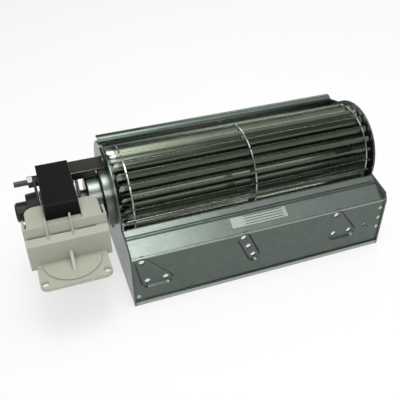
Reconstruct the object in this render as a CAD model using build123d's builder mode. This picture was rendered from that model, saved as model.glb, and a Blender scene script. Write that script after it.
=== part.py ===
from build123d import *
from math import cos, degrees, radians, sin
import os

# Cross flow fan: a sheet-metal scroll housing, a bladed drum impeller across it,
# and a shaded-pole motor carried on two arms outside the left end plate.
# X runs along the fan axis (motor at -X), -Y is the front wall, +Z is up.
# The origin lies on the plane of the outlet rim, under the middle of the fan axis.
# Section sizes are measured from the fan axis: first towards +Y, then towards +Z.

# ---- housing ---------------------------------------------------------------------------
HOUSING_LENGTH = 179.5      # over the two end plates
SHEET = 1.0                 # galvanised sheet
AXIS_HEIGHT = 53.1          # fan axis above the outlet rim
SCROLL_RADIUS = 49.5        # inside of the rear wall, level with the axis
SCROLL_GROWTH = 15.3        # growth of that radius, mm per radian of turn
SCROLL_TOP_ANGLE = -4.0     # where the rear wall leaves the scroll for its rolled lip
SCROLL_LOW_ANGLE = -46.0    # where the rear wall bends into its skirt
LIP_REACH = 40.0            # centre of the rolled lip, from the axis
LIP_ANGLE = 28.5            # direction of that centre
LIP_RADIUS = 3.7            # inside radius of the lip
LIP_FOOT_ANGLE = 229.0      # the wall meets the lip in this direction from its centre
LIP_TURN = 205.0            # turn of the lip, up and back over the wall
SKIRT_BEND = 4.0            # inside bend radius of that skirt
FRONT_REACH = 51.4          # outer face of the front wall, ahead of the axis
RIDGE_DROP = 14.4           # fold between the tongue and the front wall, below the axis
RIDGE_BEND = 1.2            # inside bend radius of that fold
TONGUE_GAP = 3.6            # tongue edge to the impeller
TONGUE_ANGLE = 189.8        # direction of the tongue edge from the axis
BEAD_INSET = 4.5            # stiffening bead, from the tongue edge
BEAD_WIDTH = 2.6
BEAD_HEIGHT = 0.8
HEM_HEIGHT = 3.0            # folded bottom edge of the front wall
INLET_GAP = 2.2             # end plates beyond the impeller, over the inlet
INLET_START = 50.0          # the inlet's arc runs between these angles
INLET_END = 190.0
PLATE_PROUD = 1.0           # end plates beyond the sheets that they close
NOSE_SETBACK = 1.6          # front corner of the end plates, behind the front wall
NOSE_DROP = 9.2
FLANGE_WIDTH = 6.0          # folded edges of the end plates, inside the walls
FLANGE_GAP = 0.1            # rear flange inside the rear wall
REAR_FLANGE_LOW = -34.0     # the rear flange runs between these angles
REAR_FLANGE_TOP = -6.0

# ---- screw pads in the front wall ------------------------------------------------------
PAD_DEPTH = 1.5
PAD_MARGIN = 4.7            # pad outline around each hole centre
PAD_TAPER = 40.0            # slope of the pad's sides
WALL_HOLE_RADIUS = 1.9
PAD_TOP_DROP = 19.2         # upper holes below the axis
PAD_LOW_DROP = 35.6         # lower holes below the axis
PAD_PAIR_SPACING = 12.0     # the two lower holes of a three-cornered pad
LEFT_PAD_X = -79.7          # lower left hole of the left pad
LEFT_PAD_LEAN = -2.8        # upper hole, sideways from that one
RIGHT_PAD_X = 53.0
MIDDLE_PAD_X = -11.2
MIDDLE_PAD_LEAN = 3.7       # sideways step from hole to hole
PILOT_HOLES = ((13.7, 32.7, 1.3), (11.0, 34.8, 0.7))    # inset from the end, drop, radius

# ---- impeller --------------------------------------------------------------------------
IMPELLER_RADIUS = 30.0
BLADE_COUNT = 24
BLADE_ROOT_RADIUS = 24.2
BLADE_CURVE = 8.0           # radius of the blade's section
BLADE_TURN = 60.0           # arc that the section covers
BLADE_LEAN = 20.0           # section at its root, from the radial direction
BLADE_SHEET = 0.4
BLADE_CORNER = 2.0          # rounded corners of each strip
BLADE_MOTOR_GAP = 2.2       # blade ends to the inner faces of the end plates
BLADE_FAR_GAP = 0.9
DRIVE_DISC_INSET = 9.7      # discs, from the outer faces of the end plates
END_DISC_INSET = 5.4
MIDDLE_RING_X = 1.9
DISC_SHEET = 0.8
RING_BORE_RADIUS = 20.6
RIM_INSET = 0.1             # disc rims inside the circle of the blades
SLOT_CLEARANCE = 0.05
SLOT_RUN_OUT = 4.0          # turn by which the slots run on through the rim

# ---- shafts, hub and bearings ----------------------------------------------------------
SHAFT_RADIUS = 3.0
RUNNING_CLEARANCE = 0.05
BUSH_WALL = 1.8
HUB_RADIUS = 8.5
HUB_FLANGE_RADIUS = 12.0
HUB_FLANGE = 2.2
HUB_NECK = 6.0
HUB_NECK_TAPER = 1.5
BOSS_LENGTH = 2.5           # steel boss on the far disc
SHAFT_PAST_DISC = 2.0       # motor shaft beyond the driven disc
STUB_INSIDE = 3.0           # stub shaft inside the far disc
STUB_PROUD = 1.0            # and beyond its bush
BAR_CHAMFER = 0.3
GROMMET_RADIUS = 11.0
GROMMET_LIP = 2.0
GROMMET_WALL = 1.5
END_BUSH_LENGTH = 9.0
END_DISH_RADIUS = 20.0
END_DISH_DEPTH = 3.0

# ---- motor -----------------------------------------------------------------------------
MOTOR_GAP = 22.0            # end plate to the lamination stack
STACK_THICKNESS = 20.0
STACK_HEIGHT = 45.0
STACK_BACK = 15.7           # stack behind the axis
STACK_FRONT = 29.5          # stack ahead of the axis
STACK_CORNER = 1.5
ROTOR_BORE_RADIUS = 11.5
AIR_GAP = 0.3
ROTOR_OVERHANG = 1.2        # end rings of the rotor beyond the laminations
END_RING_BORE_RADIUS = 6.9
WINDOW_HEIGHT = 25.0
WINDOW_BACK = 13.5
CORE_LEG = 8.5
SHADE_RADIUS = 1.1          # copper shading rings
SHADE_CIRCLE = 13.5
SHADE_ANGLES = (120.0, 150.0)
SHADE_OVERHANG = 1.0
ROD_BACK = 6.0              # clamp rods: behind the axis, above and below it
ROD_HEIGHT = 17.0
ROD_RADIUS = 1.95           # M4
ROD_OVERHANG = 11.5         # beyond the outer bridge
ROD_TIP = 1.5               # beyond the inner nuts
ROD_CHAMFER = 0.4
NUT_WIDTH = 7.0
NUT_THICKNESS = 3.2
ROD_CLEARANCE = 0.15

# ---- motor bracket and its cup ---------------------------------------------------------
COLLAR_RADIUS = 20.3
COLLAR_DEPTH = 6.1
DRUM_RADIUS = 15.5
DRUM_DEPTH = 14.8
DRUM_BORE_RADIUS = 7.0
CUP_ROUND = 1.6
ARM_FRONT = -0.5            # front edge of the arms, behind the axis
ARM_WIDTH = 13.8
ARM_HEIGHT = 21.6           # outer face of the arms from the axis
ARM_SHEET = 1.0
ARM_FLANGE = 5.2
ARM_FOOT = 6.4
EAR_SHEET = 1.2
EAR_HEIGHT = 7.3
FLANGE_CUT_BACK = 6.7       # arm flanges end this far from the end plate

# ---- bearing bridges -------------------------------------------------------------------
BRIDGE_PLATE = 1.5
BRIDGE_BOSS_RADIUS = 3.4
BRIDGE_STANDOFF = 1.0       # inner plate beyond the ears of the arms
HUB_SHOULDER = 0.6          # plate beyond the foot of its hub
HUB_DRAFT = 5.0
OUTER_HUB_RADIUS = 11.0
OUTER_HUB_LENGTH = 6.5
INNER_HUB_RADIUS = 6.4
INNER_HUB_LENGTH = 4.3
CAP_RADIUS = 6.4
CAP_LENGTH = 7.5
CAP_WALL = 1.2
CAP_ROOM = 2.0              # shaft end to the end of the cap

# ---- coil and its moulded cover --------------------------------------------------------
FORMER_WALL = 1.0
FORMER_FLANGE = 1.2
FORMER_LIP = 0.6            # flanges beyond the winding
FORMER_FRONT_LIP = 0.4
FORMER_CORNER = 0.5
FORMER_CLEARANCE = 0.2
WINDING_BUILD = 3.8         # winding in the window and ahead of the core leg
WINDING_HALF_WIDTH = 19.6
WINDING_CORNER = 4.0
TOWER_HALF_WIDTH = 21.6
COVER_WALL = 1.3
COVER_HALF_WIDTH = 24.0
COVER_FRONT = 40.4
COVER_BACK = 16.0
TRAY_HEIGHT = 7.3           # top of the front wall above the axis
TRAY_RUN = 2.9              # its sloping top: depth
TRAY_FALL = 3.6             # and fall
WIRE_SLOTS = ((-22.0, -13.0), (-9.0, 2.0), (5.6, 17.0))     # from the motor's middle
SLOT_WIDTH = 1.0
SLOT_DEPTH = 4.6
CHEEK_LENGTH = 9.5
TOWER_ROUND = 6.0
RIB_SHEET = 1.2
RIB_PLACES = (-10.9, 3.4)   # from the motor's middle
FOOT_WIDTH = 41.6
FOOT_REACH = 60.2
FOOT_SHEET = 2.2
FOOT_ROUND = 4.5
FOOT_BEND = 1.5             # hollow between the front wall and the foot
FOOT_HOLE_RADIUS = 2.15
FOOT_SIDE_MARGIN = 3.0      # hole centres from the sides of the foot
FOOT_FRONT_MARGIN = 4.4     # and from its front edge
PLINTH_RADIUS = 17.5        # half-round plinth on the foot
PLINTH_HEIGHT = 0.8
GUSSET_SHEET = 2.0
GUSSET_HEIGHT = 7.0
GUSSET_REACH = 12.0
TAG_WIDTH = 4.8             # solder tags below the cover
TAG_SHEET = 0.8
TAG_LENGTH = 9.0
TAG_CHAMFER = 1.0
TAG_SPACING = 31.0
TAG_REACH = 22.0            # ahead of the axis

# ---- label and rivets ------------------------------------------------------------------
LABEL_LENGTH = 39.0
LABEL_CORNER = 0.6
LABEL_X = -1.8
LABEL_SHARE = 0.56          # label width in the flat between the bead and the fold
LABEL_MARGIN = 0.8          # label to the bead
LABEL_SHEET = 0.2
RIVET_HEAD_RADIUS = 1.5
RIVET_HEAD = 0.5
RIVET_INSET = 3.2           # from the outer faces of the end plates
RIVET_DROPS = (20.5, 29.0, 37.0)
LEFT_RIVET_LIFT = 7.1       # above the outlet rim
ARM_RIVET_SPACING = 7.0

# ---- places worked out from the sizes above --------------------------------------------
half_length = HOUSING_LENGTH / 2
inner_half = half_length - SHEET
ridge = (-FRONT_REACH, -RIDGE_DROP)
tongue_radius = IMPELLER_RADIUS + TONGUE_GAP
stack_right = -half_length - MOTOR_GAP
stack_left = stack_right - STACK_THICKNESS
motor_mid = (stack_left + stack_right) / 2
window_half = WINDOW_HEIGHT / 2
leg_back = -STACK_FRONT + CORE_LEG
rod_places = ((ROD_BACK, ROD_HEIGHT), (ROD_BACK, -ROD_HEIGHT))
lip_bend = LIP_RADIUS + SHEET
fan_axis = Axis((0, 0, AXIS_HEIGHT), (1, 0, 0))


def section(x):
    """Plane across the fan at x: local x is +Y, local y is +Z, zero on the fan axis."""
    return Plane(origin=(x, 0, AXIS_HEIGHT), x_dir=(0, 1, 0), z_dir=(1, 0, 0))


def polar(radius, angle):
    """Section point at a distance from the axis and an angle from +Y towards +Z."""
    return (radius * cos(radians(angle)), radius * sin(radians(angle)))


def scroll_point(angle, step_out=0.0):
    """Point of the rear wall's inner face, moved outwards by step_out."""
    return polar(SCROLL_RADIUS - SCROLL_GROWTH * radians(angle) + step_out, angle)


def scroll_points(start, stop, step_out=0.0, count=9):
    """Evenly turned points of the scroll from one angle to another."""
    turns = [start + (stop - start) * i / (count - 1) for i in range(count)]
    return [scroll_point(turn, step_out) for turn in turns]


def lip_arc(radius):
    """Arc of the rolled lip, from the wall up and over."""
    return CenterArc(polar(LIP_REACH, LIP_ANGLE), radius, LIP_FOOT_ANGLE, -LIP_TURN)


# ---- rear wall: skirt, scroll and rolled lip -------------------------------------------
with BuildPart() as rear_wall:
    with BuildSketch(section(-inner_half)) as rear_profile:
        with BuildLine():
            inner_lip = lip_arc(lip_bend)
            outer_lip = lip_arc(LIP_RADIUS)
            inner_run = scroll_points(SCROLL_LOW_ANGLE, SCROLL_TOP_ANGLE)
            outer_run = scroll_points(SCROLL_LOW_ANGLE, SCROLL_TOP_ANGLE, SHEET)
            start_way = Vector(*inner_run[1]) - Vector(*inner_run[0])
            inner = Spline(*inner_run, inner_lip @ 0, tangents=(start_way, inner_lip % 0))
            outer = Spline(*outer_run, outer_lip @ 0, tangents=(start_way, inner_lip % 0))
            skirt_inner = (inner @ 0).X
            Line(inner_lip @ 1, outer_lip @ 1)
            Polyline(inner @ 0, (skirt_inner, -AXIS_HEIGHT), (skirt_inner + SHEET, -AXIS_HEIGHT),
                     (skirt_inner + SHEET, (outer @ 0).Y), outer @ 0)
        make_face()
        inner_bend = rear_profile.vertices().sort_by_distance(inner @ 0)[0]
        fillet(inner_bend, SKIRT_BEND)
    extrude(amount=2 * inner_half)

# ---- front wall with the tongue, the bead, the hem and the screw pads ------------------
tongue_edge = Vector(*polar(tongue_radius, TONGUE_ANGLE))
tongue_run = (Vector(*ridge) - tongue_edge).normalized()
tongue_up = Vector(tongue_run.Y, -tongue_run.X)
bead_start = tongue_edge + tongue_run * BEAD_INSET
bead_top = bead_start + tongue_run * (BEAD_WIDTH / 2) + tongue_up * BEAD_HEIGHT
bead_end = bead_start + tongue_run * BEAD_WIDTH
left_pad = ((LEFT_PAD_X + LEFT_PAD_LEAN, -PAD_TOP_DROP), (LEFT_PAD_X, -PAD_LOW_DROP),
            (LEFT_PAD_X + PAD_PAIR_SPACING, -PAD_LOW_DROP))
right_pad = ((RIGHT_PAD_X, -PAD_TOP_DROP), (RIGHT_PAD_X, -PAD_LOW_DROP),
             (RIGHT_PAD_X + PAD_PAIR_SPACING, -PAD_LOW_DROP))
pad_middle_drop = (PAD_TOP_DROP + PAD_LOW_DROP) / 2
middle_pad = ((MIDDLE_PAD_X - MIDDLE_PAD_LEAN, -PAD_TOP_DROP), (MIDDLE_PAD_X, -pad_middle_drop),
              (MIDDLE_PAD_X + MIDDLE_PAD_LEAN, -PAD_LOW_DROP))
pads = (left_pad, middle_pad, right_pad)
front_face = Plane(origin=(0, -FRONT_REACH, AXIS_HEIGHT), x_dir=(1, 0, 0), z_dir=(0, -1, 0))

with BuildPart() as front_wall:
    with BuildSketch(section(-inner_half)) as front_profile:
        with BuildLine():
            Line(tongue_edge, bead_start)
            ThreePointArc(bead_start, bead_top, bead_end)
            Line(bead_end, ridge)
            Line(ridge, (-FRONT_REACH, -AXIS_HEIGHT))
            offset(amount=SHEET, side=Side.LEFT)
        make_face()
        outside, inside = front_profile.vertices().sort_by_distance(Vector(*ridge))[:2]
        fillet(outside, RIDGE_BEND + SHEET)
        fillet(inside, RIDGE_BEND)
        with Locations((-FRONT_REACH, -AXIS_HEIGHT)):
            Rectangle(SHEET, HEM_HEIGHT, align=(Align.MAX, Align.MIN))
    extrude(amount=2 * inner_half)
    for pad in pads:
        with BuildSketch(front_face.offset(-SHEET)):
            with Locations(*pad):
                Circle(PAD_MARGIN + SHEET)
            make_hull()
        extrude(amount=-PAD_DEPTH, taper=PAD_TAPER)
        with BuildSketch(front_face):
            with Locations(*pad):
                Circle(PAD_MARGIN)
            make_hull()
        extrude(amount=-PAD_DEPTH, taper=PAD_TAPER, mode=Mode.SUBTRACT)
        with BuildSketch(front_face):
            with Locations(*pad):
                Circle(WALL_HOLE_RADIUS)
        extrude(amount=-(PAD_DEPTH + 2 * SHEET), mode=Mode.SUBTRACT)
    with BuildSketch(front_face):
        for inset, drop, radius in PILOT_HOLES:
            with Locations((half_length - inset, -drop)):
                Circle(radius)
    extrude(amount=-2 * SHEET, mode=Mode.SUBTRACT)


# ---- end plates ------------------------------------------------------------------------
def end_plate_face():
    """Outline of an end plate, drawn in section."""
    plate_reach = FRONT_REACH + PLATE_PROUD
    edge_out = SHEET + PLATE_PROUD
    skirt = scroll_point(SCROLL_LOW_ANGLE, edge_out)
    nose = (-FRONT_REACH + NOSE_SETBACK, -NOSE_DROP)
    with BuildSketch() as face:
        with BuildLine():
            inlet = CenterArc((0, 0), IMPELLER_RADIUS + INLET_GAP, INLET_START,
                              INLET_END - INLET_START)
            Polyline(inlet @ 1, nose, (-plate_reach, -RIDGE_DROP),
                     (-plate_reach, -AXIS_HEIGHT), (skirt[0], -AXIS_HEIGHT), skirt)
            curl = Spline(*scroll_points(SCROLL_LOW_ANGLE, SCROLL_TOP_ANGLE, edge_out),
                          polar(LIP_REACH, LIP_ANGLE + degrees(edge_out / LIP_REACH)))
            Line(curl @ 1, inlet @ 0)
        make_face()
    return face.sketch


def end_flange_faces(front_top):
    """Folded edges of an end plate: behind the front wall up to front_top, and in the scroll."""
    with BuildSketch() as faces:
        with Locations((-FRONT_REACH + SHEET, -AXIS_HEIGHT + HEM_HEIGHT)):
            Rectangle(SHEET, front_top + AXIS_HEIGHT - HEM_HEIGHT, align=(Align.MIN, Align.MIN))
        with BuildLine():
            outer = Spline(*scroll_points(REAR_FLANGE_LOW, REAR_FLANGE_TOP, -FLANGE_GAP))
            inner = Spline(*scroll_points(REAR_FLANGE_LOW, REAR_FLANGE_TOP, -FLANGE_GAP - SHEET))
            Line(outer @ 0, inner @ 0)
            Line(outer @ 1, inner @ 1)
        make_face()
    return faces.sketch


axial = Plane(origin=(0, 0, AXIS_HEIGHT), x_dir=(1, 0, 0), z_dir=(0, -1, 0))

with BuildPart() as motor_end_plate:
    with BuildSketch(section(-half_length)):
        add(end_plate_face())
        Circle(DRUM_RADIUS, mode=Mode.SUBTRACT)
    extrude(amount=SHEET)
    with BuildSketch(section(-inner_half)):
        add(end_flange_faces(-PAD_LOW_DROP - PAD_MARGIN - 2 * SHEET))
    extrude(amount=FLANGE_WIDTH)

with BuildPart() as bearing_end_plate:
    with BuildSketch(section(inner_half)):
        add(end_plate_face())
        Circle(END_DISH_RADIUS - SHEET, mode=Mode.SUBTRACT)
    extrude(amount=SHEET)
    with BuildSketch(section(inner_half)):
        add(end_flange_faces(-RIDGE_DROP - HEM_HEIGHT))
    extrude(amount=-FLANGE_WIDTH)
    with BuildSketch(axial):
        with BuildLine():
            Polyline((inner_half, END_DISH_RADIUS), (half_length + END_DISH_DEPTH, END_DISH_RADIUS),
                     (half_length + END_DISH_DEPTH, GROMMET_RADIUS - GROMMET_LIP),
                     (half_length + END_DISH_DEPTH - SHEET, GROMMET_RADIUS - GROMMET_LIP),
                     (half_length + END_DISH_DEPTH - SHEET, END_DISH_RADIUS - SHEET),
                     (inner_half, END_DISH_RADIUS - SHEET), close=True)
        make_face()
    revolve(axis=fan_axis)
    dish_rims = bearing_end_plate.edges().filter_by(GeomType.CIRCLE).group_by(Axis.X)[-1]
    fillet(dish_rims.sort_by(SortBy.RADIUS)[-1], SHEET)

# ---- cup of the motor bracket: a collar on the end plate and a drum ahead of it --------
plate_face = -half_length
collar_face = plate_face - COLLAR_DEPTH
drum_face = plate_face - DRUM_DEPTH

with BuildPart() as motor_cup:
    with BuildSketch(axial) as cup_profile:
        with BuildLine():
            Polyline((plate_face, COLLAR_RADIUS), (collar_face, COLLAR_RADIUS),
                     (collar_face, DRUM_RADIUS), (drum_face, DRUM_RADIUS),
                     (drum_face, DRUM_BORE_RADIUS), (drum_face + SHEET, DRUM_BORE_RADIUS),
                     (drum_face + SHEET, DRUM_RADIUS - SHEET),
                     (collar_face + SHEET, DRUM_RADIUS - SHEET),
                     (collar_face + SHEET, COLLAR_RADIUS - SHEET),
                     (plate_face, COLLAR_RADIUS - SHEET), close=True)
        make_face()
        outer_corners = [v for v in cup_profile.vertices()
                         if (v.X, v.Y) in ((collar_face, COLLAR_RADIUS), (drum_face, DRUM_RADIUS))]
        fillet(outer_corners, CUP_ROUND)
    revolve(axis=fan_axis)

arm_middle = ARM_FRONT + ARM_WIDTH / 2
flange_level = ARM_HEIGHT - ARM_FLANGE / 2
with BuildPart() as motor_arms:
    for side in (1, -1):
        with BuildSketch(section(stack_right)):
            with Locations((arm_middle, side * (ARM_HEIGHT - ARM_SHEET / 2))):
                Rectangle(ARM_WIDTH, ARM_SHEET)
        extrude(amount=MOTOR_GAP)
        with BuildSketch(section(stack_right)):
            with Locations((ARM_FRONT + ARM_SHEET / 2, side * flange_level),
                           (ARM_FRONT + ARM_WIDTH - ARM_SHEET / 2, side * flange_level)):
                Rectangle(ARM_SHEET, ARM_FLANGE)
        extrude(amount=MOTOR_GAP - FLANGE_CUT_BACK)
        with BuildSketch(section(stack_right)):
            with Locations((arm_middle, side * (ARM_HEIGHT - EAR_HEIGHT / 2))):
                Rectangle(ARM_WIDTH, EAR_HEIGHT)
            with Locations((ROD_BACK, side * ROD_HEIGHT)):
                Circle(ROD_RADIUS + ROD_CLEARANCE, mode=Mode.SUBTRACT)
        extrude(amount=EAR_SHEET)
        with BuildSketch(section(plate_face - ARM_SHEET)):
            with Locations((arm_middle, side * (ARM_HEIGHT + ARM_FOOT / 2))):
                Rectangle(ARM_WIDTH, ARM_FOOT)
        extrude(amount=ARM_SHEET)

# ---- impeller --------------------------------------------------------------------------
blade_start = -inner_half + BLADE_MOTOR_GAP
blade_stop = inner_half - BLADE_FAR_GAP
curve_centre = (BLADE_ROOT_RADIUS - BLADE_CURVE * sin(radians(BLADE_LEAN)),
                -BLADE_CURVE * cos(radians(BLADE_LEAN)))


def blade_faces(extra=0.0, run_out=0.0):
    """Ring of blade sections; a slot's are wider by extra and run out through the rim."""
    half = BLADE_SHEET / 2 + extra
    slack = degrees(extra / BLADE_CURVE)
    root_turn = 90 - BLADE_LEAN + slack
    arc = BLADE_TURN + slack + run_out
    with BuildSketch() as blade:
        with BuildLine():
            back = CenterArc(curve_centre, BLADE_CURVE + half, root_turn, -arc)
            face = CenterArc(curve_centre, BLADE_CURVE - half, root_turn, -arc)
            Line(back @ 0, face @ 0)
            Line(back @ 1, face @ 1)
        make_face()
    with BuildSketch() as ring:
        with PolarLocations(0, BLADE_COUNT):
            add(blade.sketch)
    return ring.sketch


with BuildPart() as impeller_blades:
    with BuildSketch(section(blade_start)):
        add(blade_faces())
    extrude(amount=blade_stop - blade_start)
    corners = impeller_blades.edges().filter_by(
        lambda edge: abs(edge.length - BLADE_SHEET) < SLOT_CLEARANCE / 2)
    fillet(corners, BLADE_CORNER)


def slotted_disc(x, bore_radius):
    """Thin disc with a slot for every blade."""
    with BuildPart() as disc:
        with BuildSketch(section(x - DISC_SHEET / 2)):
            Circle(IMPELLER_RADIUS - RIM_INSET)
            Circle(bore_radius, mode=Mode.SUBTRACT)
            add(blade_faces(SLOT_CLEARANCE, SLOT_RUN_OUT), mode=Mode.SUBTRACT)
        extrude(amount=DISC_SHEET)
    return disc


drive_disc_x = -half_length + DRIVE_DISC_INSET
end_disc_x = half_length - END_DISC_INSET
drive_disc = slotted_disc(drive_disc_x, HUB_RADIUS)
middle_ring = slotted_disc(MIDDLE_RING_X, RING_BORE_RADIUS)
end_disc = slotted_disc(end_disc_x, SHAFT_RADIUS)


# ---- rotating shafts and the rubber drive hub ------------------------------------------
rotor_left = stack_left - ROTOR_OVERHANG
rotor_right = stack_right + ROTOR_OVERHANG
outer_plate_x = rotor_left - AIR_GAP - BRIDGE_PLATE
outer_hub_x = outer_plate_x - OUTER_HUB_LENGTH
inner_plate_x = stack_right + EAR_SHEET + BRIDGE_STANDOFF
inner_hub_x = inner_plate_x + BRIDGE_PLATE + INNER_HUB_LENGTH
shaft_left = outer_hub_x - CAP_LENGTH + CAP_ROOM
shaft_right = drive_disc_x + SHAFT_PAST_DISC
bearing_radius = SHAFT_RADIUS + RUNNING_CLEARANCE
bush_radius = bearing_radius + BUSH_WALL


def round_bar(start, stop, radius, bore=0.0):
    """Turned bar along the fan axis with chamfered outer ends."""
    with BuildPart() as bar:
        with BuildSketch(section(start)):
            Circle(radius)
        extrude(amount=stop - start)
        chamfer(bar.edges().filter_by(GeomType.CIRCLE), BAR_CHAMFER)
        if bore:
            with BuildSketch(section(start)):
                Circle(bore)
            extrude(amount=stop - start, mode=Mode.SUBTRACT)
    return bar


motor_shaft = round_bar(shaft_left, shaft_right, SHAFT_RADIUS)
end_bush_centre = half_length + END_DISH_DEPTH - SHEET / 2
end_bush_left = end_bush_centre - END_BUSH_LENGTH / 2
end_bush_right = end_bush_centre + END_BUSH_LENGTH / 2
stub_shaft = round_bar(end_disc_x - STUB_INSIDE, end_bush_right + STUB_PROUD, SHAFT_RADIUS)

with BuildPart() as rotor_core:
    with BuildSketch(section(stack_left)):
        Circle(ROTOR_BORE_RADIUS - AIR_GAP)
        Circle(SHAFT_RADIUS, mode=Mode.SUBTRACT)
    extrude(amount=STACK_THICKNESS)
    for end_x, reach in ((stack_left, -ROTOR_OVERHANG), (stack_right, ROTOR_OVERHANG)):
        with BuildSketch(section(end_x)):
            Circle(ROTOR_BORE_RADIUS - 2 * AIR_GAP)
            Circle(END_RING_BORE_RADIUS, mode=Mode.SUBTRACT)
        extrude(amount=reach)

disc_left = drive_disc_x - DISC_SHEET / 2
disc_right = drive_disc_x + DISC_SHEET / 2
hub_left = disc_left - HUB_FLANGE - HUB_NECK
hub_right = disc_right + HUB_FLANGE
with BuildPart() as drive_hub:
    with BuildSketch(axial):
        with BuildLine():
            Polyline((hub_left, SHAFT_RADIUS), (hub_left, HUB_RADIUS - HUB_NECK_TAPER),
                     (disc_left - HUB_FLANGE, HUB_RADIUS), (disc_left - HUB_FLANGE, HUB_FLANGE_RADIUS),
                     (disc_left, HUB_FLANGE_RADIUS), (disc_left, HUB_RADIUS),
                     (disc_right, HUB_RADIUS), (disc_right, HUB_FLANGE_RADIUS),
                     (hub_right, HUB_FLANGE_RADIUS), (hub_right, SHAFT_RADIUS), close=True)
        make_face()
    revolve(axis=fan_axis)

# a steel boss fixes the stub shaft to the end disc
with BuildPart() as stub_boss:
    with BuildSketch(section(end_disc_x - DISC_SHEET / 2)):
        Circle(HUB_RADIUS)
        Circle(SHAFT_RADIUS, mode=Mode.SUBTRACT)
    extrude(amount=-BOSS_LENGTH)

# ---- bearing at the far end: bush in a rubber grommet in the dished plate --------------
end_bush = round_bar(end_bush_left, end_bush_right, bush_radius, bearing_radius)
groove_left = end_bush_centre - SHEET / 2
groove_right = end_bush_centre + SHEET / 2
groove_radius = GROMMET_RADIUS - GROMMET_LIP
with BuildPart() as bearing_grommet:
    with BuildSketch(axial):
        with BuildLine():
            Polyline((end_bush_left, bush_radius), (end_bush_left, bush_radius + GROMMET_WALL),
                     (groove_left - GROMMET_WALL, GROMMET_RADIUS), (groove_left, GROMMET_RADIUS),
                     (groove_left, groove_radius), (groove_right, groove_radius),
                     (groove_right, GROMMET_RADIUS), (groove_right + GROMMET_WALL, GROMMET_RADIUS),
                     (end_bush_right, bush_radius + GROMMET_WALL), (end_bush_right, bush_radius),
                     close=True)
        make_face()
    revolve(axis=fan_axis)

# ---- stator: C-frame laminations with bore, coil window and shading holes --------------
with BuildPart() as stator_stack:
    with BuildSketch(section(stack_left)) as lamination:
        with Locations(((STACK_BACK - STACK_FRONT) / 2, 0)):
            Rectangle(STACK_BACK + STACK_FRONT, STACK_HEIGHT)
        fillet(lamination.vertices(), STACK_CORNER)
        Circle(ROTOR_BORE_RADIUS, mode=Mode.SUBTRACT)
        with Locations((leg_back, 0)):
            Rectangle(-WINDOW_BACK - leg_back, WINDOW_HEIGHT, align=(Align.MIN, Align.CENTER),
                      mode=Mode.SUBTRACT)
        with Locations(*rod_places):
            Circle(ROD_RADIUS + ROD_CLEARANCE, mode=Mode.SUBTRACT)
        shade_places = [polar(SHADE_CIRCLE, angle + turn) for angle in SHADE_ANGLES
                        for turn in (0, 180)]
        with Locations(*shade_places):
            Circle(SHADE_RADIUS + RUNNING_CLEARANCE, mode=Mode.SUBTRACT)
    extrude(amount=STACK_THICKNESS)


def shading_bar(turn):
    """Centre line of a shading ring's end bar, on the shading circle."""
    with BuildLine() as bar:
        CenterArc((0, 0), SHADE_CIRCLE, SHADE_ANGLES[0] + turn, SHADE_ANGLES[1] - SHADE_ANGLES[0])
    return bar.wires()[0]


with BuildPart() as shading_rings:
    for turn in (0, 180):
        with BuildSketch(section(stack_left)):
            with Locations(*[polar(SHADE_CIRCLE, angle + turn) for angle in SHADE_ANGLES]):
                Circle(SHADE_RADIUS)
        extrude(amount=STACK_THICKNESS)
        for end_x, reach in ((stack_left, -SHADE_OVERHANG), (stack_right, SHADE_OVERHANG)):
            with BuildSketch(section(end_x)):
                SlotArc(shading_bar(turn), 2 * SHADE_RADIUS)
            extrude(amount=reach)

# ---- coil former and winding round the core leg ----------------------------------------
tube_front = -STACK_FRONT - FORMER_CLEARANCE - FORMER_WALL
tube_back = leg_back + FORMER_CLEARANCE + FORMER_WALL
tube_half = STACK_THICKNESS / 2 + FORMER_CLEARANCE + FORMER_WALL
winding_front = tube_front - WINDING_BUILD
winding_back = tube_back + WINDING_BUILD
former_front = winding_front - FORMER_FRONT_LIP
former_half = WINDING_HALF_WIDTH + FORMER_LIP
flange_outer = window_half - FORMER_CLEARANCE
flange_inner = flange_outer - FORMER_FLANGE


def leg_ring(outer_half_width, front, back, bore_half_width, bore_front, bore_back, corner):
    """Plan of a ring round the core leg: rounded outside, square bore."""
    with BuildSketch() as ring:
        with Locations((motor_mid, (front + back) / 2)):
            RectangleRounded(2 * outer_half_width, back - front, corner)
        with Locations((motor_mid, (bore_front + bore_back) / 2)):
            Rectangle(2 * bore_half_width, bore_back - bore_front, mode=Mode.SUBTRACT)
    return ring.sketch


leg_half = STACK_THICKNESS / 2 + FORMER_CLEARANCE
leg_front_gap = -STACK_FRONT - FORMER_CLEARANCE
leg_back_gap = leg_back + FORMER_CLEARANCE
with BuildPart() as coil_former:
    with BuildSketch(Plane.XY.offset(AXIS_HEIGHT - flange_outer)):
        add(leg_ring(tube_half, tube_front, tube_back,
                     leg_half, leg_front_gap, leg_back_gap, FORMER_CORNER))
    extrude(amount=2 * flange_outer)
    for level in (-flange_outer, flange_inner):
        with BuildSketch(Plane.XY.offset(AXIS_HEIGHT + level)):
            add(leg_ring(former_half, former_front, winding_back + FORMER_LIP,
                         leg_half, leg_front_gap, leg_back_gap, WINDING_CORNER))
        extrude(amount=FORMER_FLANGE)

with BuildPart() as coil_winding:
    with BuildSketch(Plane.XY.offset(AXIS_HEIGHT - flange_inner)):
        add(leg_ring(WINDING_HALF_WIDTH, winding_front, winding_back,
                     tube_half, tube_front, tube_back, WINDING_CORNER))
    extrude(amount=2 * flange_inner)

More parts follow.
